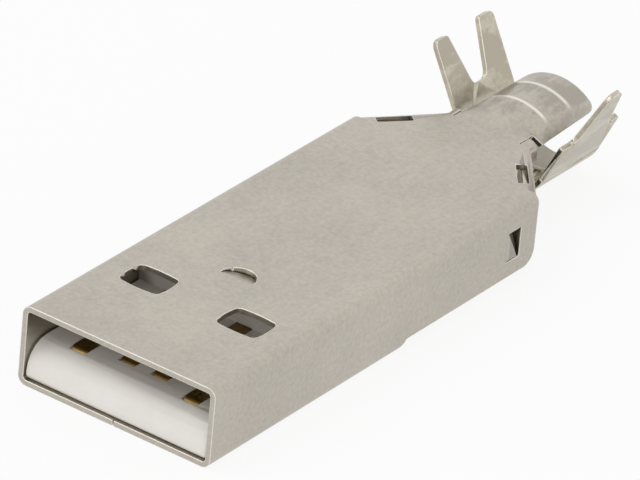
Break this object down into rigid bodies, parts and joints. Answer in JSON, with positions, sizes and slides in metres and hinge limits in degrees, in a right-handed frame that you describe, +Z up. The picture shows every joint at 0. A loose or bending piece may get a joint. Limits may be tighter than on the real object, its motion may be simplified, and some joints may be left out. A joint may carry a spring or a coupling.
{
  "type": "usb-a plug",
  "caption": "Wire-mount type-A data plug: folded metal shell with latch windows, moulded contact insulator and a crimp cradle with open wings for the cable.",
  "frame": {"origin": "centre of the mating face of the tube", "axes": "+Y from the mating face towards the cable, +Z up from the tongue's side to the open side of the tube, +X to the right seen from the mating end"},
  "size_m": [0.012, 0.0382, 0.007],
  "materials": {
    "upper_shell": "satin nickel plate on stamped steel",
    "lower_shell": "satin nickel plate on stamped steel",
    "insulator": "white moulded plastic",
    "contacts": "gold plate"
  },
  "bodies": {
    "root": {"upper_shell": "upper_shell", "lower_shell": "lower_shell", "insulator": "insulator", "left_outer_contact": "contacts", "left_inner_contact": "contacts", "right_inner_contact": "contacts", "right_outer_contact": "contacts"}
  },
  "joints": []
}
